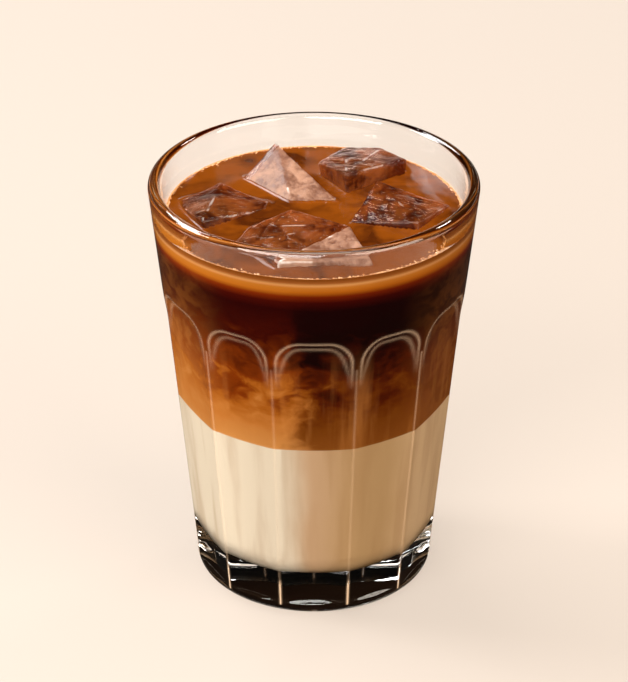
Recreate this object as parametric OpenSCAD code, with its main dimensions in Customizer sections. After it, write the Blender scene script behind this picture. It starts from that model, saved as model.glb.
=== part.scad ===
// Iced latte in a pressed tumbler with flat arched panels.
// Millimetres, +Z up, origin at the centre of the foot, -Y is the front.

/* [Glass] */
// Height from the foot to the top of the lip
glass_h = 117; // [110:1:124]
// Outer radius at the lip
lip_r = 44; // [42:0.5:46]
// Thickness of the rounded lip
lip_t = 3.2; // [2.4:0.1:4]
// Outer radius just above the arches, where the plain band ends
band_low_r = 40.6; // [40:0.1:41.5]
// Height at which the plain band ends
band_low_z = 85.1; // [82:0.1:88]
// Height at which the narrow lands between the panels begin
land_top_z = 80.4; // [76:0.1:82]
// Radius of the lands at that height
land_top_r = 39.75; // [39:0.05:40]
// How much the lands widen for each millimetre of height
land_slope = 0.0972; // [0.08:0.0001:0.11]
// Radius of the rounding at the foot
foot_round = 5; // [3:0.5:6]
// Radius of the hollow under the foot
hollow_r = 21; // [15:1:24]
// Depth of the hollow under the foot
hollow_depth = 1.2; // [0.5:0.1:2]

/* [Panels] */
// Height of the lower edge of the panels
panel_low_z = 4.6; // [4:0.1:8]
// Height of the top of the arches
arch_top_z = 89; // [86:0.5:92]
// Radius of the arches' corners
arch_corner = 6.5; // [3:0.5:8]
// Width of the plain strip between two arches
arch_gap = 2.8; // [1:0.1:4]
// Half the angle that a land takes up between two panels
land_half_angle = 0.8; // [0.3:0.1:1.5]

/* [Inside] */
// Thickness of the glass floor
floor_z = 11.5; // [9:0.5:14]
// Radius of the rounded inner corner
floor_round = 8; // [4:0.5:10]
// Radius of the inside at the drink's surface
fill_r = 39.3; // [38.5:0.1:40]
// How much the inside widens for each millimetre of height
inner_slope = 0.107; // [0.1:0.001:0.112]

/* [Drink] */
// Height of the drink's surface
fill_z = 108; // [104:0.5:109]
// Height at which the milk ends and the coffee begins
milk_z = 54; // [40:1:64]
// Size of an ice block's underside against its top
ice_taper = 0.85; // [0.7:0.05:1]

/* [Hidden] */
$fn = 96;

// How far a cut reaches out past the glass, and the angle that one straight
// piece of an arc takes up
reach = 30;
arc_step = 15;
lip_round = lip_t / 2;
lip_lean = 6;
lip_flare = 11;
land_lean = atan(land_slope);
inner_lean = atan(inner_slope);

// The panels are a little uneven, as pressed ones are: the angle of each edge
// from the front, on one side. The other side mirrors it, and one edge is at
// the back.
EDGES = [16.3, 45.3, 80, 113.3, 146.7, 180];

// Ice: the corners round the top of each block, against the clock as seen
// from above, then how its underside is moved from them. The top is creased
// from its first corner to each of the others.
ICE = [
    [[[-10.5, 25.5, 116], [-20, 18.5, 107], [-5, -1, 106], [7.5, 3.5, 107.5]], [2, 5, -16]],
    [[[8.5, 9, 114], [25, 22.5, 112], [18.5, 31.5, 111.5], [9, 32, 111.5], [1, 21, 112]], [1, -1, -18]],
    [[[17, 10.5, 111.5], [9.5, -8.5, 108.5], [27.5, -13, 110.5], [36, 1, 109]], [0, 0, -17]],
    [[[-25, 12, 110.5], [-37, 5, 107.5], [-29, -12, 110.5], [-9.5, 2, 107.5]], [1, -1, -19]],
    [
        [[9.5, -17, 111.5], [-6, -5, 110.5], [-17, -13, 109.5], [-21, -23, 109.5], [-9, -34, 109.5], [15, -33, 108.8]],
        [0, 1, -19],
    ],
];

// Sum of a list of numbers
function sum(list, i = 0) = i < len(list) ? list[i] + sum(list, i + 1) : 0;

// Radius of the lands, and of the inner wall, at height z
function land_r(z) = land_top_r + land_slope * (z - land_top_z);
function inner_r(z) = fill_r + inner_slope * (z - fill_z);

// Half the width of panel i in degrees, and the angle of its middle
function panel_low_edge(i) = i == 0 ? -EDGES[0] : EDGES[i - 1];
function panel_half(i) = (EDGES[i] - panel_low_edge(i)) / 2;
function panel_mid(i) = (EDGES[i] + panel_low_edge(i)) / 2;

// Distance of panel i's plane from the axis at height z
function panel_d(i, z) = land_r(z) * cos(panel_half(i) - land_half_angle);

// Points along an arc, from one angle to another
function arc(centre, r, from, to) =
    let (steps = max(3, ceil(abs(to - from) / arc_step)))
    [for (k = [0 : steps]) let (a = from + (to - from) * k / steps) centre + r * [cos(a), sin(a)]];

// Outline of the outside, from the middle of the hollow foot up to the lip
function outer_points() =
    let (ball_r = (hollow_r * hollow_r + hollow_depth * hollow_depth) / (2 * hollow_depth))
    let (foot_x = land_r(foot_round) - foot_round / cos(land_lean))
    concat(
        arc([0, hollow_depth - ball_r], ball_r, 90, 90 - asin(hollow_r / ball_r)),
        arc([foot_x, foot_round], foot_round, -90, -land_lean),
        [[land_top_r, land_top_z], [band_low_r, band_low_z]]
    );

function lip_points() = arc([lip_r - lip_round, glass_h - lip_round], lip_round, -lip_lean, 180 + lip_flare);

// Outline of the inside, from the drink's surface down to the middle of the floor
function inner_points() =
    let (corner_z = floor_z + floor_round)
    let (corner_x = inner_r(corner_z) - floor_round / cos(inner_lean))
    concat(
        [[fill_r, fill_z]],
        arc([corner_x, corner_z], floor_round, -inner_lean, -90),
        [[0, floor_z]]
    );

// The turned shape of the tumbler before its panels are cut
module blank() {
    rotate_extrude() polygon(concat(outer_points(), lip_points(), inner_points()));
}

// Face of a panel: straight sides, a flat top with two round corners
module arch(half_w, low, high) {
    x = half_w - arch_corner;
    y = high - arch_corner;
    polygon(concat(
        [[-half_w, low], [half_w, low]],
        arc([x, y], arch_corner, 0, 90),
        arc([-x, y], arch_corner, 90, 180)
    ));
}

// What is cut away in front of panel i. The foot below it stays round.
module panel_cut(i) {
    lean = atan(land_slope * cos(panel_half(i) - land_half_angle));
    half_w = band_low_r * sin(panel_half(i)) - arch_gap / 2;
    translate([0, -panel_d(i, 0), 0])
        rotate([90 + lean, 0, 0])
            linear_extrude(reach)
                arch(half_w, panel_low_z / cos(lean), arch_top_z / cos(lean));
}

module all_panel_cuts() {
    for (i = [0 : len(EDGES) - 1])
        for (side = i == 0 ? [1] : [-1, 1])
            rotate([0, 0, side * panel_mid(i)]) panel_cut(i);
}

module glass() {
    color([0.86, 0.9, 0.9, 0.35])
        difference() {
            blank();
            all_panel_cuts();
        }
}

// The inside between two heights
module layer(low, high) {
    intersection() {
        rotate_extrude() polygon(concat(inner_points(), [[0, fill_z]]));
        translate([0, 0, low]) cylinder(r = lip_r, h = high - low);
    }
}

module milk() {
    color([0.86, 0.76, 0.6]) layer(floor_z, milk_z);
}

// The coffee is open round the ice that floats in it
module coffee() {
    color([0.42, 0.2, 0.07])
        difference() {
            layer(milk_z, fill_z);
            for (i = [0 : len(ICE) - 1]) ice_block(i);
        }
}

// Block of ice number i: its top corners, and below them the same corners
// drawn in towards their middle and sunk
module ice_block(i) {
    top = ICE[i][0];
    sink = ICE[i][1];
    n = len(top);
    middle = [for (axis = [0 : 2]) sum([for (p = top) p[axis]]) / n];
    low = [for (p = top) middle + (p - middle) * ice_taper + sink];
    faces = [
        for (k = [1 : n - 2]) [0, k + 1, k],
        for (k = [1 : n - 2]) [n, n + k, n + k + 1],
        for (k = [0 : n - 1]) let (next = (k + 1) % n) [k, next, n + k],
        for (k = [0 : n - 1]) let (next = (k + 1) % n) [next, n + next, n + k],
    ];
    polyhedron(points = concat(top, low), faces = faces);
}

module ice(i) {
    color([0.84, 0.76, 0.7]) ice_block(i);
}

glass();
milk();
coffee();
ice(0);  // ice_1
ice(1);  // ice_2
ice(2);  // ice_3
ice(3);  // ice_4
ice(4);  // ice_5
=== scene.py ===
# %% [markdown]
# # Iced latte in a pressed tumbler
#
# The drink is three things at once: a thick clear glass with flat arched panels, two liquids
# that have only begun to mix, and wet ice. Most of what an eye reads in it is refraction, so
# the shapes have to be right before any finish can be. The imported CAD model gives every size
# and place; the pieces made here keep to it and add the soft edges, the wet ice and the foam.

import math

import bpy
import numpy as np
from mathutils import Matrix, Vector, kdtree
from mathutils.bvhtree import BVHTree


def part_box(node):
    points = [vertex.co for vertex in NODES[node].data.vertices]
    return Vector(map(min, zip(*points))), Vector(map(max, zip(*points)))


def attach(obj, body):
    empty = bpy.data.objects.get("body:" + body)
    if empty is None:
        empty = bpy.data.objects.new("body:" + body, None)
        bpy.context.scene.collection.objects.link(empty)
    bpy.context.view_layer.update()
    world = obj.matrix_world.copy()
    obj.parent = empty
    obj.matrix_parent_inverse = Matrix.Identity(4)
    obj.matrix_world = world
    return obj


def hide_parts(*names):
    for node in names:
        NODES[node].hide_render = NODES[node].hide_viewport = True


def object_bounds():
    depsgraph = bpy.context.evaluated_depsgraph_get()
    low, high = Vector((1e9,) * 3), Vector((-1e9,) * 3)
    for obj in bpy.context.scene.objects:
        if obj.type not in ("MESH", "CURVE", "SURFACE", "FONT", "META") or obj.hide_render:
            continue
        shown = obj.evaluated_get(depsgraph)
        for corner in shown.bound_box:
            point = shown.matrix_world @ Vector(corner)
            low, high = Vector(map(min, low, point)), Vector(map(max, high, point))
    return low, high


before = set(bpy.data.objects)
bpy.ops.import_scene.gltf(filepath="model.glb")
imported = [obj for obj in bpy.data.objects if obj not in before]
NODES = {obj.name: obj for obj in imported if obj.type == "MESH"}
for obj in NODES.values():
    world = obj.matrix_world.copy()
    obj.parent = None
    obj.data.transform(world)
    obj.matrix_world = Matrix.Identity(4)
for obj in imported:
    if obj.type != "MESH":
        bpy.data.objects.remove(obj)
cad_low, cad_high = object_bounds()
MM = 0.001
ICE_NODES = sorted(name for name in NODES if name.startswith("ice_"))
GLASS_TOP = cad_high.z
FILL_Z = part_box("coffee")[1].z
MILK_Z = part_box("coffee")[0].z
FLOOR_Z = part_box("milk")[0].z
FILL_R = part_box("coffee")[1].x
width = cad_high.x - cad_low.x
print(f"box {width / MM:.1f} x {GLASS_TOP / MM:.1f} mm, {len(ICE_NODES)} ice blocks")

# %% [markdown]
# ## Camera and studio
#
# A product picture of a drink is taken a little from above with a long lens, which keeps the
# rim's ellipse calm. The floor and the backdrop are one pale sweep, so that they light the
# glass evenly. Clear glass on a pale ground only shows if something dark is near it: in a
# studio, black boards stand above and behind it, and the base refracts them. Here the
# surroundings are dark a little above the horizon, but only for rays that have met the
# object, and the floor is dark where something glossy mirrors it. Far from the object the
# floor turns into the backdrop's own colour, so that no horizon shows.

# %% Camera
AIM = Vector((0, 0, 68.3 * MM))
VIEW_DISTANCE = 936 * MM
VIEW_ELEVATION = math.radians(28.26)
LENS = 182.3

camera = bpy.data.objects.new("camera", bpy.data.cameras.new("camera"))
bpy.context.scene.collection.objects.link(camera)
view_back = Vector((0, -math.cos(VIEW_ELEVATION), math.sin(VIEW_ELEVATION)))
camera.location = AIM + VIEW_DISTANCE * view_back
camera.rotation_euler = (-view_back).to_track_quat("-Z", "Y").to_euler()
camera.data.sensor_width = 36
camera.data.lens = LENS
bpy.context.scene.camera = camera
print(f"camera {VIEW_DISTANCE * 1000:.0f} mm away")


# %% Helpers for colours and shader nodes
def linear(red, green, blue):
    """A colour given in 0 to 255 steps, as the shader's linear values."""
    parts = [value / 255 for value in (red, green, blue)]
    return [p / 12.92 if p <= 0.04045 else ((p + 0.055) / 1.055) ** 2.4 for p in parts] + [1.0]


def add_node(tree, kind, inputs=None, **settings):
    """A shader node with its settings, and its inputs linked or set."""
    made = tree.nodes.new(kind)
    for name, value in settings.items():
        setattr(made, name, value)
    for name, value in (inputs or {}).items():
        if isinstance(value, bpy.types.NodeSocket):
            tree.links.new(value, made.inputs[name])
        else:
            made.inputs[name].default_value = value
    return made


def math_node(tree, operation, first, second=0.0):
    return add_node(tree, "ShaderNodeMath", {0: first, 1: second}, operation=operation).outputs[0]


def times(tree, first, second):
    return math_node(tree, "MULTIPLY", first, second)


def plus(tree, first, second):
    return math_node(tree, "ADD", first, second)


def span(tree, value, low, high, to_low=0.0, to_high=1.0):
    """The value eased from low..high to to_low..to_high."""
    inputs = {"Value": value, "From Min": low, "From Max": high}
    inputs |= {"To Min": to_low, "To Max": to_high}
    made = add_node(tree, "ShaderNodeMapRange", inputs, interpolation_type="SMOOTHSTEP")
    return made.outputs[0]


def mix(tree, factor, first, second):
    """One colour faded into another; 6, 7 and 2 are the node's colour sockets."""
    made = add_node(tree, "ShaderNodeMix", {0: factor, 6: first, 7: second}, data_type="RGBA")
    return made.outputs[2]


def mix_shaders(tree, factor, first, second):
    inputs = {0: factor, 1: first.outputs[0], 2: second.outputs[0]}
    return add_node(tree, "ShaderNodeMixShader", inputs)


def ramp(tree, factor, stops):
    """A colour ramp; stops are (place, colour)."""
    made = add_node(tree, "ShaderNodeValToRGB", {0: factor})
    elements = made.color_ramp.elements
    for place, colour in stops[1:-1]:
        elements.new(place).color = colour
    elements[0].position, elements[0].color = stops[0]
    elements[len(stops) - 1].position, elements[len(stops) - 1].color = stops[-1]
    return made.outputs[0]


def new_material(name):
    """A material with a Principled shader, and the tree to build in."""
    material = bpy.data.materials.new(name)
    material.use_nodes = True
    return material, material.node_tree, material.node_tree.nodes["Principled BSDF"]


# %% Floor, backdrop and lights
BACKDROP = linear(255, 239, 223)
DARK_WALL = (0.001, 0.001, 0.001, 1)
FLOOR_COLOUR = (0.205, 0.175, 0.151, 1)
FLOOR_GLOW = 0.42
FLOOR_FADE = (0.2, 1.1)
FLOOR_DROP = 0.1 * MM
FLOOR_MIRROR_DARK = 0.97


def make_floor():
    bpy.ops.mesh.primitive_plane_add(size=12, location=(0, 0, -FLOOR_DROP))
    floor = bpy.context.active_object
    floor.name = "floor"
    material, tree, shader = new_material("pale_floor")
    coordinates = add_node(tree, "ShaderNodeTexCoord").outputs["Object"]
    length = add_node(tree, "ShaderNodeVectorMath", {0: coordinates}, operation="LENGTH")
    far = span(tree, length.outputs["Value"], *FLOOR_FADE)
    tree.links.new(mix(tree, far, FLOOR_COLOUR, (0, 0, 0, 1)), shader.inputs["Base Color"])
    shader.inputs["Specular IOR Level"].default_value = 0
    near_glow = [FLOOR_GLOW * value for value in BACKDROP[:3]] + [1]
    tree.links.new(mix(tree, far, near_glow, BACKDROP), shader.inputs["Emission Color"])
    shader.inputs["Emission Strength"].default_value = 1
    material.cycles.emission_sampling = "FRONT"
    board = add_node(tree, "ShaderNodeEmission", {"Color": DARK_WALL})
    ray = add_node(tree, "ShaderNodeLightPath").outputs
    not_through = math_node(tree, "SUBTRACT", 1.0, ray["Is Transmission Ray"])
    mirrored = times(tree, ray["Is Glossy Ray"], not_through)
    both = mix_shaders(tree, times(tree, mirrored, FLOOR_MIRROR_DARK), shader, board)
    tree.links.new(both.outputs[0], tree.nodes["Material Output"].inputs["Surface"])
    floor.data.materials.append(material)


def make_surroundings():
    world = bpy.data.worlds.new("studio")
    bpy.context.scene.world = world
    world.use_nodes = True
    tree = world.node_tree
    direction = add_node(tree, "ShaderNodeTexCoord").outputs["Generated"]
    height = add_node(tree, "ShaderNodeSeparateXYZ", {0: direction}).outputs["Z"]
    stops = [(0.0, BACKDROP), (0.05, BACKDROP), (0.11, DARK_WALL), (1.0, DARK_WALL)]
    walls = ramp(tree, height, stops)
    seen = add_node(tree, "ShaderNodeLightPath").outputs["Is Camera Ray"]
    colour = mix(tree, seen, walls, BACKDROP)
    tree.links.new(colour, tree.nodes["Background"].inputs["Color"])


def soft_light(name, place, width, height, power, colour=(1, 1, 1)):
    light = bpy.data.lights.new(name, "AREA")
    light.shape = "RECTANGLE"
    light.size, light.size_y, light.energy, light.color = width, height, power, colour
    lamp = bpy.data.objects.new(name, light)
    bpy.context.scene.collection.objects.link(lamp)
    lamp.location = place
    lamp.rotation_euler = (AIM - Vector(place)).to_track_quat("-Z", "Y").to_euler()
    return lamp


LIGHT_BOUNCES = 24

make_floor()
make_surroundings()
soft_light("key", (-1.0, 0.25, 0.9), 0.35, 0.5, 15.0)
soft_light("back_left", (-0.85, 0.85, 1.25), 1.3, 0.4, 28.0)
soft_light("back_right", (0.8, 0.95, 1.3), 0.3, 0.2, 5.0)
soft_light("overhead", (0.05, 0.15, 1.5), 1.3, 1.0, 9.0, (1, 0.98, 0.95))
soft_light("front", (-0.55, -1.25, 0.75), 1.5, 1.1, 60.0, (1, 0.97, 0.94))
soft_light("fill", (1.0, -0.8, 0.7), 1.3, 1.0, 33.0, (1, 0.9, 0.79))
bpy.context.scene.view_settings.view_transform = "Standard"
cycles = bpy.context.scene.cycles
cycles.caustics_refractive = cycles.caustics_reflective = False
cycles.max_bounces = cycles.transparent_max_bounces = LIGHT_BOUNCES
cycles.transmission_bounces = 20


# %% [markdown]
# ## Turning a profile
#
# A tumbler, and any liquid in it, is a turned shape. By hand that is an outline of points
# that Spin carries round the axis. A circle is added for its ring of points, the points are
# laid along the outline, the edge that would close it on the axis is taken away, and the
# rest is spun. The pole points then merge into one.

# %% Helpers for modelling
WELD = 1e-6
CRISP_ANGLE = math.radians(40)


def take_active(piece):
    bpy.ops.object.select_all(action="DESELECT")
    piece.select_set(True)
    bpy.context.view_layer.objects.active = piece


def outline_object(name, points):
    """A chain of points in the XZ plane, in metres."""
    bpy.ops.object.select_all(action="DESELECT")
    bpy.ops.mesh.primitive_circle_add(vertices=len(points), radius=0.01)
    piece = bpy.context.active_object
    piece.name = name
    for vertex, (x, z) in zip(piece.data.vertices, points):
        vertex.co = (x, 0, z)
    closing = {0, len(points) - 1}
    bpy.ops.object.mode_set(mode="EDIT")
    bpy.ops.mesh.select_mode(type="EDGE")
    bpy.ops.mesh.select_all(action="DESELECT")
    bpy.ops.object.mode_set(mode="OBJECT")
    for edge in piece.data.edges:
        edge.select = set(edge.vertices) == closing
    bpy.ops.object.mode_set(mode="EDIT")
    bpy.ops.mesh.delete(type="EDGE_FACE")
    bpy.ops.object.mode_set(mode="OBJECT")
    return piece


def turn(piece, steps, crisp=False):
    """Spins the outline round the axis, closes seam and poles, and points the faces outwards."""
    take_active(piece)
    bpy.ops.object.mode_set(mode="EDIT")
    bpy.ops.mesh.select_all(action="SELECT")
    bpy.ops.mesh.spin(
        steps=steps, angle=2 * math.pi, center=(0, 0, 0), axis=(0, 0, 1), use_auto_merge=True
    )
    bpy.ops.mesh.select_all(action="SELECT")
    bpy.ops.mesh.remove_doubles(threshold=WELD)
    bpy.ops.mesh.normals_make_consistent(inside=False)
    bpy.ops.object.mode_set(mode="OBJECT")
    if crisp:
        bpy.ops.object.shade_smooth_by_angle(angle=CRISP_ANGLE)
    else:
        bpy.ops.object.shade_smooth()


def arc(centre, radius, start, end, steps):
    """Points along an arc, from one angle to another, in degrees."""
    angles = np.radians(np.linspace(start, end, steps + 1))
    return [(centre[0] + radius * math.cos(a), centre[1] + radius * math.sin(a)) for a in angles]


def along(start, end, steps):
    """Points along a straight line, without its ends."""
    return [tuple(np.array(start) + (np.array(end) - start) * k / steps) for k in range(1, steps)]


def read_points(piece):
    points = np.zeros(len(piece.data.vertices) * 3)
    piece.data.vertices.foreach_get("co", points)
    return points.reshape(-1, 3)


def write_points(piece, points):
    piece.data.vertices.foreach_set("co", points.astype(np.float32).ravel())
    piece.data.update()


def write_values(piece, name, values):
    """One number for each point, which a material reads by its name."""
    attribute = piece.data.attributes.new(name, "FLOAT", "POINT")
    attribute.data.foreach_set("value", np.asarray(values, dtype=np.float32))


def search_tree(points):
    tree = kdtree.KDTree(len(points))
    for index, point in enumerate(points):
        tree.insert(point, index)
    tree.balance()
    return tree


def count_triangles(piece):
    return sum(len(p.vertices) - 2 for p in piece.data.polygons)


# %% [markdown]
# ## The glass
#
# The real tumbler is pressed: molten glass is pushed into a mould, so its panels are flat,
# its edges are a little soft, and the lip is fire polished round. A boolean cut would give
# the panels knife edges, and those look wrong as soon as light bends at them. So the turned
# wall is made dense, and each of its points is then pressed inwards to the panel in front
# of it, with formulas that round every edge by a known amount. The columns of points are
# gathered towards the panels' edges, where the surface turns fastest.

# %% Sizes of the glass, in millimetres as on a drawing
LAND_TOP_Z, LAND_TOP_R, LAND_SLOPE = 80.4, 39.75, 0.0972
BAND_LOW_Z, BAND_LOW_R = 85.1, 40.6
LIP_CENTRE, LIP_ROUND, LIP_LEAN, LIP_FLARE = (42.4, 115.4), 1.6, -6, 191
FOOT_ROUND, HOLLOW_R, HOLLOW_DEPTH = 5.0, 21.0, 1.2
FLOOR_ROUND, INNER_SLOPE = 8.0, 0.107
PANEL_LOW_Z, ARCH_TOP_Z, ARCH_CORNER, ARCH_GAP = 4.6, 89.0, 6.5, 2.8
LAND_HALF_ANGLE = 0.8
WALL_LOW_Z, FINE_LOW_Z, FINE_TOP_Z, WALL_TOP_Z = 5.6, 70, 93, 114.6
COARSE_STEP, FINE_STEP = 2.2, 0.42
PANEL_EDGES = [16.3, 45.3, 80, 113.3, 146.7, 180]
COLUMNS = 36


def land_r(z):
    return LAND_TOP_R + LAND_SLOPE * (z - LAND_TOP_Z)


def inner_r(z):
    return FILL_R / MM + INNER_SLOPE * (z - FILL_Z / MM)


def bend(value, softness):
    """Zero below zero and the value itself above, with a rounded corner between."""
    return 0.5 * (value + np.sqrt(value**2 + softness**2))


def wall_r(z):
    """Outside radius of the turned wall, above the foot's rounding and below the lip."""
    shoulder = (BAND_LOW_R - LAND_TOP_R) / (BAND_LOW_Z - LAND_TOP_Z)
    band = (LIP_CENTRE[0] + LIP_ROUND - BAND_LOW_R) / (LIP_CENTRE[1] - BAND_LOW_Z)
    widened = (shoulder - LAND_SLOPE) * bend(z - LAND_TOP_Z, 1.2)
    return land_r(z) + widened + (band - shoulder) * bend(z - BAND_LOW_Z, 1.2)


def inner_outline(top, steps):
    """The inside from a height down to the middle of the floor."""
    floor_z = FLOOR_Z / MM
    lean = math.degrees(math.atan(INNER_SLOPE))
    corner_z = floor_z + FLOOR_ROUND
    corner_r = inner_r(corner_z) - FLOOR_ROUND / math.cos(math.radians(lean))
    curve = arc((corner_r, corner_z), FLOOR_ROUND, -lean, -90, 14)
    wall = [(inner_r(z), z) for z in np.linspace(top, curve[0][1], steps + 1)[:-1]]
    return wall + curve + along(curve[-1], (0, floor_z), 8) + [(0, floor_z)]


def glass_outline():
    """Round the whole glass, from the middle of the hollow under it to the middle of its floor."""
    ball_r = (HOLLOW_R**2 + HOLLOW_DEPTH**2) / (2 * HOLLOW_DEPTH)
    rise = math.degrees(math.asin(HOLLOW_R / ball_r))
    hollow = arc((0, HOLLOW_DEPTH - ball_r), ball_r, 90, 90 - rise, 10)
    lean = math.atan(LAND_SLOPE)
    foot_x = land_r(FOOT_ROUND) - FOOT_ROUND / math.cos(lean)
    foot = arc((foot_x, FOOT_ROUND), FOOT_ROUND, -90, -math.degrees(lean), 40)
    heights = [
        *np.arange(WALL_LOW_Z, FINE_LOW_Z, COARSE_STEP),
        *np.arange(FINE_LOW_Z, FINE_TOP_Z, FINE_STEP),
        *np.arange(FINE_TOP_Z, WALL_TOP_Z, COARSE_STEP),
    ]
    wall = [(wall_r(z), z) for z in heights]
    lip = arc(LIP_CENTRE, LIP_ROUND, LIP_LEAN, LIP_FLARE, 16)
    inner_top = FILL_Z / MM
    throat = along(lip[-1], (inner_r(inner_top), inner_top), 5)
    outside = hollow + along(hollow[-1], foot[0], 3) + foot + wall
    return outside + lip + throat + inner_outline(inner_top, 30)


print(f"glass outline has {len(glass_outline())} points")


# %% Press the panels into the turned wall
EVEN_SHARE, GATHERED_SHARE = 0.3, 0.7
SIDE_RUN, ARCH_RUN, ARCH_RUN_Z, ARCH_RUN_OVER = 0.7, 1.5, 78, 6
RUN_SOFT, FACET_SOFT, LEDGE, SKIN = 0.4, 0.12, 0.5, 0.8
BASE_EDGE, WALL_EDGE, OUTLINE_EDGE, STEP_EDGE, LEDGE_EDGE = 0.8, 0.09, 0.3, 0.15, 0.55


def panel_spans():
    """The first edge and the last edge of each panel, in degrees round from the front."""
    right = PANEL_EDGES
    left = [360 - edge for edge in reversed(PANEL_EDGES)][1:]
    edges = [-PANEL_EDGES[0], *right, *left]
    return np.array(edges[:-1]), np.array(edges[1:])


def inside_outline(across, z, half):
    """Distance inwards from the outline of a panel with an arched top, negative outside it."""
    half_width = BAND_LOW_R * np.sin(np.radians(half)) - ARCH_GAP / 2
    beside = np.abs(across) - (half_width - ARCH_CORNER)
    above = z - (ARCH_TOP_Z - ARCH_CORNER)
    corner = np.hypot(np.maximum(beside, 0), np.maximum(above, 0))
    return ARCH_CORNER - corner - np.minimum(np.maximum(beside, above), 0)


def bell(value, width):
    return np.exp(-((value / width) ** 2))


def edge_values(z, to_side, turned, inside, run):
    """How much of an edge each point is, from 0 to 1, for the finish to read."""
    # Ridges towards the left and right get a larger value, which makes their painted highlight
    # stronger there and the glass rougher.
    on_wall = WALL_EDGE + 0.34 * np.abs(np.sin(turned)) ** 3
    land = bell(to_side, 0.5) * np.where(z < FLOOR_Z / MM, BASE_EDGE, on_wall)
    arch = OUTLINE_EDGE * bell(inside, 0.35) + STEP_EDGE * bell(inside - run, 0.5)
    low = LEDGE_EDGE * bell(z - PANEL_LOW_Z - LEDGE / 2, 0.16)
    return land * (z < LAND_TOP_Z) + arch * np.clip((z - 74) / 10, 0, 1) + low


def press_panels(points):
    """The points pressed to their panels, and the edge value of each."""
    x, y, z = points.T / MM
    starts, ends = panel_spans()
    total = COLUMNS * len(starts)
    radius = np.hypot(x, y)
    around = np.degrees(np.arctan2(x, -y))
    column = np.round(around * total / 360).astype(int) % total
    panel, place = column // COLUMNS, (column % COLUMNS) / COLUMNS * 2 - 1
    middle, half = (starts + ends)[panel] / 2, (ends - starts)[panel] / 2
    swing = half * (EVEN_SHARE * place + GATHERED_SHARE * np.sin(place * math.pi / 2))
    turned = np.radians(middle + swing)

    flat = land_r(z) * np.cos(np.radians(half - LAND_HALF_ANGLE))
    facet = flat / np.cos(np.radians(swing))
    inside = inside_outline(radius * np.sin(np.radians(swing)), z, half)
    run = SIDE_RUN + ARCH_RUN * np.clip((z - ARCH_RUN_Z) / ARCH_RUN_OVER, 0, 1)
    share = np.clip((bend(inside, RUN_SOFT) - bend(inside - run, RUN_SOFT)) / run, 0, 1)
    share *= np.clip((z - PANEL_LOW_Z) / LEDGE + 0.5, 0, 1)
    outer = (radius > inner_r(z) + SKIN) & (z < ARCH_TOP_Z + 3)
    radius = np.where(outer, radius - share * bend(radius - facet, FACET_SOFT), radius)

    places = np.stack([radius * np.sin(turned), -radius * np.cos(turned), z], axis=1) * MM
    edges = edge_values(z, half - np.abs(swing), turned, inside, run)
    return places, np.where(outer & (z > PANEL_LOW_Z - 1), np.clip(edges, 0, 1), 0)


def make_glass():
    outline = [(x * MM, z * MM) for x, z in glass_outline()]
    piece = outline_object("tumbler", outline)
    turn(piece, COLUMNS * (2 * len(PANEL_EDGES) - 1))
    places, edges = press_panels(read_points(piece))
    write_points(piece, places)
    write_values(piece, "edge", edges)
    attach(piece, "root")
    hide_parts("glass")
    return piece


tumbler = make_glass()
print(f"tumbler has {count_triangles(tumbler)} triangles")


# %% [markdown]
# ## Ice
#
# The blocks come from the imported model, so that they lie where the liquid was cut round
# them. Real ice in a drink has soft edges, faces that have melted into shallow waves, and
# frosted patches on some faces while others are clear. A bevel rounds the edges, a voxel
# remesh gives even faces to work on, and two noise displacements melt them.

# %% Ice blocks
BEVEL = 0.35 * MM
VOXEL = 0.38 * MM
EDGE_SPACING = 0.3 * MM
EDGE_REACH = 0.55 * MM
FLAT_ANGLE = math.radians(1)


def apply_modifier(piece, kind, **settings):
    modifier = piece.modifiers.new(kind.lower(), kind)
    for name, value in settings.items():
        setattr(modifier, name, value)
    take_active(piece)
    bpy.ops.object.modifier_apply(modifier=modifier.name)


def melt(piece, size, strength, name):
    """Moves the faces in and out by waves of a size and strength."""
    texture = bpy.data.textures.new(name, "CLOUDS")
    texture.noise_scale = size
    texture.noise_depth = 1
    settings = {"texture": texture, "texture_coords": "LOCAL", "mid_level": 0.5}
    apply_modifier(piece, "DISPLACE", strength=strength, **settings)


def edge_tree(piece):
    """A search tree of points along every edge of a block."""
    points = []
    for edge in piece.data.edges:
        start, end = (piece.data.vertices[index].co for index in edge.vertices)
        steps = max(1, int((end - start).length / EDGE_SPACING))
        points += [start.lerp(end, k / steps) for k in range(steps + 1)]
    return search_tree(points)


def make_ice(node):
    piece = bpy.data.objects.new(node + "_wet", NODES[node].data.copy())
    bpy.context.scene.collection.objects.link(piece)
    piece.data.materials.clear()
    take_active(piece)
    bpy.ops.object.mode_set(mode="EDIT")
    bpy.ops.mesh.select_all(action="SELECT")
    bpy.ops.mesh.remove_doubles(threshold=WELD)
    bpy.ops.mesh.dissolve_limited(angle_limit=FLAT_ANGLE)
    bpy.ops.mesh.select_all(action="SELECT")
    bpy.ops.object.mode_set(mode="OBJECT")
    edges = edge_tree(piece)
    bpy.ops.object.mode_set(mode="EDIT")
    bpy.ops.mesh.bevel(offset=BEVEL, segments=2, affect="EDGES")
    bpy.ops.object.mode_set(mode="OBJECT")
    apply_modifier(piece, "REMESH", mode="VOXEL", voxel_size=VOXEL)
    apply_modifier(piece, "SMOOTH", factor=0.5, iterations=1)
    distances = [edges.find(vertex.co)[2] for vertex in piece.data.vertices]
    write_values(piece, "edge", [math.exp(-((value / EDGE_REACH) ** 2)) for value in distances])
    melt(piece, 12 * MM, 0.8 * MM, "melt_wide")
    melt(piece, 3.5 * MM, 0.35 * MM, "melt_fine")
    bpy.ops.object.shade_smooth()
    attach(piece, "root")
    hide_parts(node)
    return piece


ice = {node: make_ice(node) for node in ICE_NODES}
print("ice triangles:", {name: count_triangles(piece) for name, piece in ice.items()})


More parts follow.
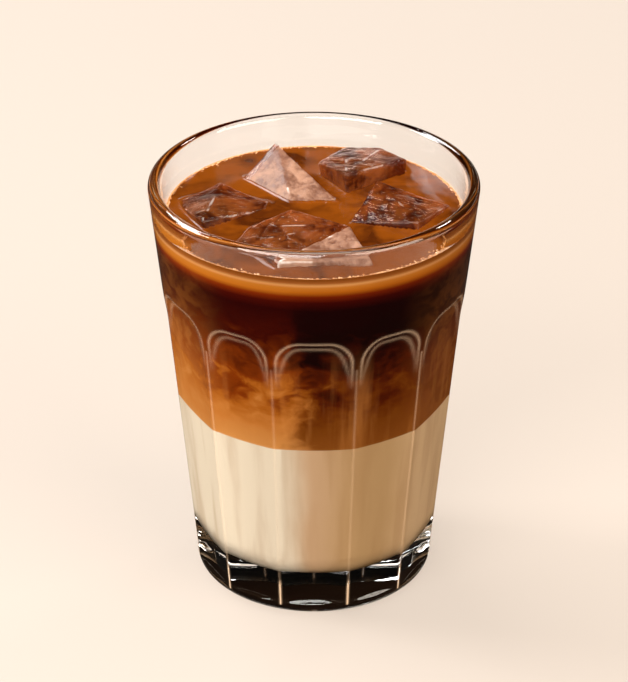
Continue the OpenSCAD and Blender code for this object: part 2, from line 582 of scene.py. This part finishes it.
# %% [markdown]
# ## Milk and coffee
#
# Each liquid is a turned solid that reaches just into the glass, because a gap of air there
# would mirror. The coffee's surface isn't flat: it climbs the wall and the ice a little,
# which draws the bright line round them, and under each block it follows the ice down.

# %% Liquid shapes
REACH = 0.06
MILK_SINKS_BELOW = 12
CLIMB, CLIMB_WIDTH = 0.25, 0.7
ICE_CLIMB, ICE_CLIMB_WIDTH = 0.5, 0.8
POCKET, POCKET_SLOPE, POCKET_INSET, POCKET_OVERLAP = 9.0, 2.5, 1.0, 0.5
CREST = 0.2
RIM_RINGS, RIM_BAND, INNER_RINGS = 14, 3.4, 115


def finish_liquid(piece, node):
    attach(piece, "root")
    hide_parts(node)
    return piece


def make_milk():
    side = inner_outline(MILK_Z / MM, 16)
    outline = [(0, side[0][1])]
    outline += [(x + REACH if x > 0 else 0, z - REACH * (z < MILK_SINKS_BELOW)) for x, z in side]
    piece = outline_object("milk_layer", [(x * MM, z * MM) for x, z in outline])
    turn(piece, 180, crisp=True)
    return finish_liquid(piece, "milk")


def waterline_tree():
    """A search tree of points along the ice's outline at the coffee's surface."""
    found = []
    for piece in ice.values():
        copy = bpy.data.objects.new("cut", piece.data.copy())
        bpy.context.scene.collection.objects.link(copy)
        take_active(copy)
        bpy.ops.object.mode_set(mode="EDIT")
        bpy.ops.mesh.select_all(action="SELECT")
        level = {"plane_co": (0, 0, FILL_Z), "plane_no": (0, 0, 1)}
        bpy.ops.mesh.bisect(clear_inner=True, clear_outer=True, **level)
        bpy.ops.object.mode_set(mode="OBJECT")
        found += [tuple(v.co) for v in copy.data.vertices]
        bpy.data.objects.remove(copy)
    return search_tree(found)


def shape_surface(points, top):
    """Lifts the surface at the wall and the ice, and sinks it under the ice."""
    tree = waterline_tree()
    depsgraph = bpy.context.evaluated_depsgraph_get()
    blocks = [BVHTree.FromObject(piece, depsgraph) for piece in ice.values()]
    up, down = Vector((0, 0, 1)), Vector((0, 0, -1))
    for index in np.flatnonzero(top):
        x, y = points[index, :2]
        to_wall = FILL_R + REACH * MM - math.hypot(x, y)
        to_ice = tree.find((x, y, FILL_Z))[2]
        lift = CLIMB * math.exp(-to_wall / (CLIMB_WIDTH * MM))
        lift += ICE_CLIMB * math.exp(-to_ice / (ICE_CLIMB_WIDTH * MM))
        points[index, 2] = FILL_Z + lift * MM
        for block in blocks:
            crest = block.ray_cast(Vector((x, y, GLASS_TOP)), down)[0]
            if crest is None or crest.z < FILL_Z + CREST * MM:
                continue
            keel = block.ray_cast(Vector((x, y, MILK_Z)), up)[0]
            slope = FILL_Z - POCKET_SLOPE * max(to_ice - POCKET_INSET * MM, 0)
            bottom = max(keel.z + POCKET_OVERLAP * MM, FILL_Z - POCKET * MM, slope)
            points[index, 2] = min(points[index, 2], bottom)
    return points


def make_coffee():
    fill, rim = FILL_Z / MM, FILL_R / MM + REACH
    rings = [rim - RIM_BAND * (k / RIM_RINGS) ** 1.5 for k in range(1, RIM_RINGS + 1)]
    rings += list(np.linspace(rings[-1], 0, INNER_RINGS))[1:]
    side = [(inner_r(z) + REACH, z) for z in np.linspace(MILK_Z / MM, fill, 25)]
    outline = [(0, MILK_Z / MM), *side, *[(r, fill) for r in rings]]
    piece = outline_object("coffee_layer", [(x * MM, z * MM) for x, z in outline])
    turn(piece, 360, crisp=True)
    points = read_points(piece)
    top = points[:, 2] > FILL_Z - 0.01 * MM
    write_points(piece, shape_surface(points, top))
    return finish_liquid(piece, "coffee")


milk = make_milk()
coffee = make_coffee()
print(f"milk {count_triangles(milk)} and coffee {count_triangles(coffee)} triangles")


# %% [markdown]
# ## Foam at the edge
#
# Pouring leaves a line of small bubbles where the coffee meets the glass. One dome is
# modelled and copied several hundred times with its own size, in one mesh.

# %% Bubbles
BUBBLES = 900
BUBBLE_R = (0.07, 0.2)
BUBBLE_SPREAD = 0.22
DOME_CUT = -0.3


def dome_template():
    bpy.ops.object.select_all(action="DESELECT")
    bpy.ops.mesh.primitive_ico_sphere_add(subdivisions=2, radius=1)
    dome = bpy.context.active_object
    bpy.ops.object.mode_set(mode="EDIT")
    bpy.ops.mesh.select_all(action="SELECT")
    bpy.ops.mesh.bisect(
        plane_co=(0, 0, DOME_CUT), plane_no=(0, 0, 1), clear_inner=True, use_fill=True
    )
    bpy.ops.mesh.select_all(action="SELECT")
    bpy.ops.mesh.quads_convert_to_tris()
    bpy.ops.object.mode_set(mode="OBJECT")
    points = read_points(dome)
    faces = np.array([list(p.vertices) for p in dome.data.polygons])
    bpy.data.objects.remove(dome)
    return points, faces


def make_foam(count):
    random = np.random.default_rng(4)
    points, faces = dome_template()
    around = random.uniform(0, 2 * math.pi, count)
    crowd = 0.5 + 0.5 * np.sin(3 * around + 1.2) * np.sin(7 * around)
    size = random.uniform(*BUBBLE_R, count) * (0.7 + 0.8 * crowd)
    inset = random.exponential(BUBBLE_SPREAD, count) + size * 0.9
    radius = FILL_R / MM - inset
    height = FILL_Z / MM + CLIMB * np.exp(-inset / CLIMB_WIDTH)
    places = np.stack([radius * np.sin(around), -radius * np.cos(around), height], axis=1)
    all_points = (points[None] * size[:, None, None] + places[:, None]) * MM
    all_faces = faces[None] + (np.arange(count) * len(points))[:, None, None]
    mesh = bpy.data.meshes.new("edge_foam")
    mesh.from_pydata(all_points.reshape(-1, 3).tolist(), [], all_faces.reshape(-1, 3).tolist())
    piece = bpy.data.objects.new("edge_foam", mesh)
    bpy.context.scene.collection.objects.link(piece)
    take_active(piece)
    bpy.ops.object.shade_smooth()
    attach(piece, "root")
    return piece


foam = make_foam(BUBBLES)
print(f"foam has {count_triangles(foam)} triangles")


# %% [markdown]
# ## Shared shader group
#
# Liquids that mix, and ice that freezes, both show the same kind of cloud: a noise whose
# own coordinates are pushed about by a second noise. It is built once as a group.

# %% Drifting noise group
GROUP_INPUTS = [("Vector", "Vector", None), ("Scale", "Float", 100), ("Warp", "Float", 0.01)]


def vector_math(tree, operation, inputs):
    return add_node(tree, "ShaderNodeVectorMath", inputs, operation=operation).outputs[0]


def drift_group():
    group = bpy.data.node_groups.new("drift", "ShaderNodeTree")
    for name, kind, value in GROUP_INPUTS:
        kind = "NodeSocket" + kind
        socket = group.interface.new_socket(name, in_out="INPUT", socket_type=kind)
        if value is not None:
            socket.default_value = value
    group.interface.new_socket("Cloud", in_out="OUTPUT", socket_type="NodeSocketFloat")
    start = group.nodes.new("NodeGroupInput").outputs

    def noise(vector, detail):
        inputs = {"Vector": vector, "Scale": start["Scale"], "Detail": detail}
        return add_node(group, "ShaderNodeTexNoise", inputs).outputs

    push = noise(start["Vector"], 2)["Color"]
    centred = vector_math(group, "SUBTRACT", {0: push, 1: (0.5, 0.5, 0.5)})
    shift = vector_math(group, "SCALE", {0: centred, "Scale": start["Warp"]})
    moved = vector_math(group, "ADD", {0: start["Vector"], 1: shift})
    cloud = noise(moved, 4)["Fac"]
    group.links.new(cloud, group.nodes.new("NodeGroupOutput").inputs["Cloud"])
    return group


DRIFT = drift_group()


def drift(tree, scale, warp, stretch=(1, 1, 1)):
    coordinates = add_node(tree, "ShaderNodeTexCoord").outputs["Object"]
    placed = add_node(tree, "ShaderNodeMapping", {"Vector": coordinates, "Scale": stretch})
    made = add_node(tree, "ShaderNodeGroup", node_tree=DRIFT)
    tree.links.new(placed.outputs[0], made.inputs["Vector"])
    made.inputs["Scale"].default_value = scale
    made.inputs["Warp"].default_value = warp
    return made.outputs["Cloud"]


print("drift group inputs:", [name for name, kind, value in GROUP_INPUTS])


# %% Helpers for finishes
def place_of(tree):
    """Height and radius in millimetres, and X over the radius: -1 at the left, 1 at the right."""
    coordinates = add_node(tree, "ShaderNodeTexCoord").outputs["Object"]
    parts = add_node(tree, "ShaderNodeSeparateXYZ", {0: coordinates}).outputs
    x, y, z = (times(tree, parts[axis], 1 / MM) for axis in "XYZ")
    radius = math_node(tree, "SQRT", plus(tree, times(tree, x, x), times(tree, y, y)))
    side = math_node(tree, "DIVIDE", x, math_node(tree, "MAXIMUM", radius, 0.001))
    return z, radius, side


def bump(tree, shader, height, strength, distance):
    inputs = {"Height": height, "Strength": strength, "Distance": distance}
    made = add_node(tree, "ShaderNodeBump", inputs)
    tree.links.new(made.outputs[0], shader.inputs["Normal"])


def edge_of(tree):
    """The edge value that was written to the points."""
    return add_node(tree, "ShaderNodeAttribute", attribute_name="edge").outputs["Fac"]


def wear(piece, *materials):
    for material in materials:
        piece.data.materials.append(material)
    print(piece.name, "wears", [material.name for material in materials])


# %% [markdown]
# ## Finishes
#
# Glass: plain, smooth and clear, with the faint waviness of a pressed surface. Light that
# only casts shadows goes straight through it, or the milk inside would stand in the dark.

# %% Glass finish
def clear_to_shadows(tree, shader, tint):
    """Shadow rays pass as through a clear film, all others meet the real shader."""
    film = add_node(tree, "ShaderNodeBsdfTransparent", {"Color": tint})
    is_shadow = add_node(tree, "ShaderNodeLightPath").outputs["Is Shadow Ray"]
    both = mix_shaders(tree, is_shadow, shader, film)
    tree.links.new(both.outputs[0], tree.nodes["Material Output"].inputs["Surface"])


def painted_edge_highlights(tree, shader, edge):
    """The rounded edges of the panels are mixed with a pale diffuse shader, a painted highlight
    along them.
    """
    painted_highlight = add_node(tree, "ShaderNodeBsdfDiffuse", {"Color": linear(236, 200, 164)})
    return mix_shaders(tree, times(tree, edge, 0.55), shader, painted_highlight)


def glass_finish():
    material, tree, shader = new_material("pressed_glass")
    shader.inputs["Base Color"].default_value = (1, 1, 1, 1)
    shader.inputs["Transmission Weight"].default_value = 1
    shader.inputs["IOR"].default_value = 1.5
    waves = drift(tree, 90, 0.004, (1, 1, 0.25))
    smooth = span(tree, waves, 0.3, 0.8, 0.0, 0.03)
    edge = edge_of(tree)
    tree.links.new(plus(tree, smooth, times(tree, edge, 0.4)), shader.inputs["Roughness"])
    bump(tree, shader, waves, 0.06, 0.3 * MM)
    clear_to_shadows(tree, painted_edge_highlights(tree, shader, edge), (0.93, 0.91, 0.89, 1))
    return material


wear(tumbler, glass_finish())

# %% [markdown]
# Milk is painted paler on the left and tan towards the right, and paler again at the far right:
# painted light and shade across it, with fine upright streaks. Its underside is painted dark,
# painted shade where the thick base shows it.

# %% Milk finish
MILK_PAINTED_LIT, MILK_PAINTED_HALF_SHADE = linear(222, 205, 179), linear(190, 153, 116)
MILK_PAINTED_SHADE, MILK_PAINTED_EDGE_LIGHT = linear(180, 144, 100), linear(214, 178, 136)
MILK_STREAK, MILK_PAINTED_UNDERSIDE_SHADE = linear(158, 118, 76), linear(84, 58, 40)


def milk_finish():
    material, tree, shader = new_material("milk_cream")
    z, _, side = place_of(tree)
    # Painted light and shade: pale where the key lamp on the left falls, tan in shade to the
    # right, paler again at the far right edge.
    painted_light_across = plus(tree, side, times(tree, drift(tree, 60, 0.02), 0.12))
    colour = mix(tree, span(tree, painted_light_across, -0.22, 0.06), MILK_PAINTED_LIT, MILK_PAINTED_HALF_SHADE)
    colour = mix(tree, span(tree, painted_light_across, 0.0, 0.45), colour, MILK_PAINTED_SHADE)
    colour = mix(tree, span(tree, painted_light_across, 0.6, 0.95), colour, MILK_PAINTED_EDGE_LIGHT)
    streaks = span(tree, drift(tree, 170, 0.003, (1, 1, 0.05)), 0.4, 0.66)
    colour = mix(tree, times(tree, streaks, 0.32), colour, MILK_STREAK)
    # Painted shade on the milk's underside, where the thick base shows it.
    low = FLOOR_Z / MM
    colour = mix(tree, span(tree, z, low + 1.2, low + 0.1), colour, MILK_PAINTED_UNDERSIDE_SHADE)
    tree.links.new(colour, shader.inputs["Base Color"])
    shader.inputs["Roughness"].default_value = 0.3
    shader.inputs["Specular IOR Level"].default_value = 0
    return material


wear(milk, milk_finish())

# %% [markdown]
# Coffee changes with height: an amber band under the surface, nearly black below it, then
# red brown, and caramel where it meets the milk. Each row of the tables is a height and the
# colour there, for the right side in painted shade and the left side in painted light.
# Drifting noise moves the heights, so that the border between dark and light hangs in curls.

# %% Coffee finish
def height_ramp(tree, height, stops):
    low, high = MILK_Z / MM, FILL_Z / MM
    share = math_node(tree, "DIVIDE", math_node(tree, "SUBTRACT", height, low), high - low)
    return ramp(tree, share, [((z - low) / (high - low), linear(*rgb)) for z, rgb in stops])


UNDER_SURFACE = [
    (105.5, (186, 110, 36)), (106.2, (204, 140, 80)),
    (106.9, (150, 84, 34)), (107.7, (124, 64, 18)),
]
COFFEE_PAINTED_SHADE_SIDE = [
    (54.0, (130, 80, 34)), (54.6, (120, 64, 18)), (61.0, (108, 54, 9)), (67.0, (92, 38, 3)),
    (73.0, (74, 22, 2)), (82.0, (44, 7, 1)), (90.0, (18, 2, 1)), (98.5, (22, 1, 1)),
    (101.0, (54, 4, 1)), (102.8, (104, 28, 2)), (104.2, (170, 90, 16)), *UNDER_SURFACE,
]
COFFEE_PAINTED_LIT_SIDE = [
    (54.0, (204, 146, 88)), (54.6, (196, 130, 66)), (61.0, (182, 110, 46)), (67.0, (160, 86, 22)),
    (73.0, (118, 46, 4)), (82.0, (88, 30, 2)), (90.0, (56, 7, 1)), (98.5, (40, 2, 1)),
    (101.0, (64, 7, 1)), (102.8, (120, 38, 3)), (104.2, (182, 102, 24)), *UNDER_SURFACE,
]
PAINTED_GLOW_LEFT, PAINTED_GLOW_RIGHT = linear(184, 108, 44), linear(150, 84, 32)
CURL_HEIGHT = 50


def coffee_finish():
    material, tree, shader = new_material("coffee_body")
    z, _, side = place_of(tree)
    curls = drift(tree, 95, 0.018, (1, 1, 1.5))
    centred = math_node(tree, "SUBTRACT", curls, 0.5)
    loose = times(tree, span(tree, z, 56, 70), span(tree, z, 100, 84))
    height = plus(tree, z, times(tree, centred, times(tree, loose, CURL_HEIGHT)))
    # Painted light and shade: the left side takes the lit table, the right side the shaded one.
    painted_shade_mask = span(tree, plus(tree, side, times(tree, centred, 0.5)), -0.30, 0.04)
    bright, dark = height_ramp(tree, height, COFFEE_PAINTED_LIT_SIDE), height_ramp(tree, height, COFFEE_PAINTED_SHADE_SIDE)
    colour = mix(tree, painted_shade_mask, bright, dark)

    # Painted glow at the left and right sides, as where light shines through the coffee's edge;
    # brighter on the left.
    at_sides = span(tree, math_node(tree, "ABSOLUTE", side), 0.55, 0.95)
    painted_glow = times(tree, at_sides, span(tree, z, 98, 74, 0.2, 0.62))
    painted_glow = times(tree, painted_glow, span(tree, curls, 0.38, 0.62, 0.25, 1.0))
    colour = mix(tree, painted_glow, colour, mix(tree, span(tree, side, -0.1, 0.1), PAINTED_GLOW_LEFT, PAINTED_GLOW_RIGHT))

    # Lighter upright streaks in the lower coffee: painted light.
    streaks = span(tree, drift(tree, 150, 0.003, (1, 1, 0.05)), 0.46, 0.72)
    painted_light_streaks = times(tree, streaks, span(tree, z, 88, 62, 0.0, 0.36))
    colour = mix(tree, painted_light_streaks, colour, linear(206, 134, 66))
    tree.links.new(colour, shader.inputs["Base Color"])
    shader.inputs["Roughness"].default_value = 0.3
    shader.inputs["Specular IOR Level"].default_value = 0
    return material


def surface_finish():
    """The coffee's top, paler at the wall, with painted shade under the ice."""
    material, tree, shader = new_material("coffee_surface")
    z, radius, _ = place_of(tree)
    cloud = drift(tree, 70, 0.03)
    colour = mix(tree, span(tree, cloud, 0.35, 0.7), linear(100, 48, 6), linear(56, 21, 3))
    grain = drift(tree, 900, 0.001)
    rim = plus(tree, radius, times(tree, grain, 0.8))
    colour = mix(tree, span(tree, rim, 39.2, 39.7), colour, linear(188, 132, 78))
    top = FILL_Z / MM
    # Painted shade: the pocket sides and bottoms under the ice turn dark red brown.
    colour = mix(tree, span(tree, z, top - 0.4, top - 2.5), colour, linear(84, 34, 12))
    tree.links.new(colour, shader.inputs["Base Color"])
    shader.inputs["Roughness"].default_value = 0.12
    shader.inputs["IOR"].default_value = 1.33
    shader.inputs["Specular IOR Level"].default_value = 0.3
    bump(tree, shader, cloud, 0.06, 0.5 * MM)
    return material


def mark_faces(piece, chosen, index):
    for polygon in piece.data.polygons:
        if chosen(polygon):
            polygon.material_index = index


def on_surface(face):
    """Whether a face of the coffee is its top or the side of a pocket under the ice."""
    in_middle = math.hypot(face.center.x, face.center.y) < 33 * MM
    return face.normal.z > 0.05 or (in_middle and face.center.z > 60 * MM)


wear(coffee, coffee_finish(), surface_finish())
mark_faces(coffee, on_surface, 1)

# %% [markdown]
# Foam is coffee with air in it: tan, bright and glossy.

# %% Foam finish
def foam_finish():
    material, tree, shader = new_material("foam_tan")
    cloud = drift(tree, 300, 0.003)
    colour = mix(tree, span(tree, cloud, 0.35, 0.65), linear(176, 112, 58), linear(216, 168, 118))
    tree.links.new(colour, shader.inputs["Base Color"])
    shader.inputs["Roughness"].default_value = 0.18
    return material


wear(foam, foam_finish())

# %% [markdown]
# Ice has two finishes. Clear ice bends the dark coffee below it into view. Frosted ice is
# full of fine cracks and air, which scatter light and turn it pale and a little pink.

# %% Ice finishes
ICE_WARM, ICE_DARK = linear(178, 98, 44), linear(72, 26, 10)
FROST_PALE, FROST_DEEP = linear(158, 118, 94), linear(96, 58, 38)


def ice_finish(name, clear, rough_low, rough_high, pale, deep, relief):
    material, tree, shader = new_material(name)
    cloud = drift(tree, 160, 0.006)
    both = plus(tree, times(tree, cloud, 0.65), times(tree, drift(tree, 700, 0.002), 0.35))
    # White along the edges: frost on the melted edges, and partly a painted glint where the lamps
    # would catch them.
    frost_and_painted_glint = times(tree, span(tree, edge_of(tree), 0.55, 1.0), span(tree, cloud, 0.5, 0.64))
    colour = mix(tree, span(tree, both, 0.38, 0.62), deep, pale)
    colour = mix(tree, frost_and_painted_glint, colour, linear(255, 246, 238))
    tree.links.new(colour, shader.inputs["Base Color"])
    rough = span(tree, both, 0.35, 0.7, rough_low, rough_high)
    tree.links.new(plus(tree, rough, times(tree, frost_and_painted_glint, 0.4)), shader.inputs["Roughness"])
    shader.inputs["Transmission Weight"].default_value = clear
    shader.inputs["IOR"].default_value = 1.31
    bump(tree, shader, both, relief, 0.6 * MM)
    clear_to_shadows(tree, shader, (0.86, 0.8, 0.74, 1))
    return material


def right_of(place, start, run):
    """Whether a place is right of a line, seen from above; the line is in millimetres."""
    return run[1] * (place.x - start[0] * MM) > run[0] * (place.y - start[1] * MM)


ice_clear = ice_finish("ice_clear", 0.78, 0.02, 0.22, ICE_WARM, ICE_DARK, 0.9)
ice_frost = ice_finish("ice_frost", 0.35, 0.3, 0.6, FROST_PALE, FROST_DEEP, 1.2)

FROSTED = {
    "ice_1": lambda centre, facing: facing.z > 0.5 and right_of(centre, (-20, 16), (9.5, 7)),
    "ice_5": lambda centre, facing: right_of(centre, (-9, -34), (18.5, 17)),
}
for name, piece in ice.items():
    wear(piece, ice_clear, ice_frost)
    if name in FROSTED:
        block = NODES[name].data
        corners, sides = [v.co for v in block.vertices], [p.vertices[:] for p in block.polygons]
        faces = BVHTree.FromPolygons(corners, sides)
        is_frosted = FROSTED[name]
        mark_faces(piece, lambda p: is_frosted(p.center, faces.find_nearest(p.center)[1]), 1)

# %% Update the view layer
bpy.context.view_layer.update()
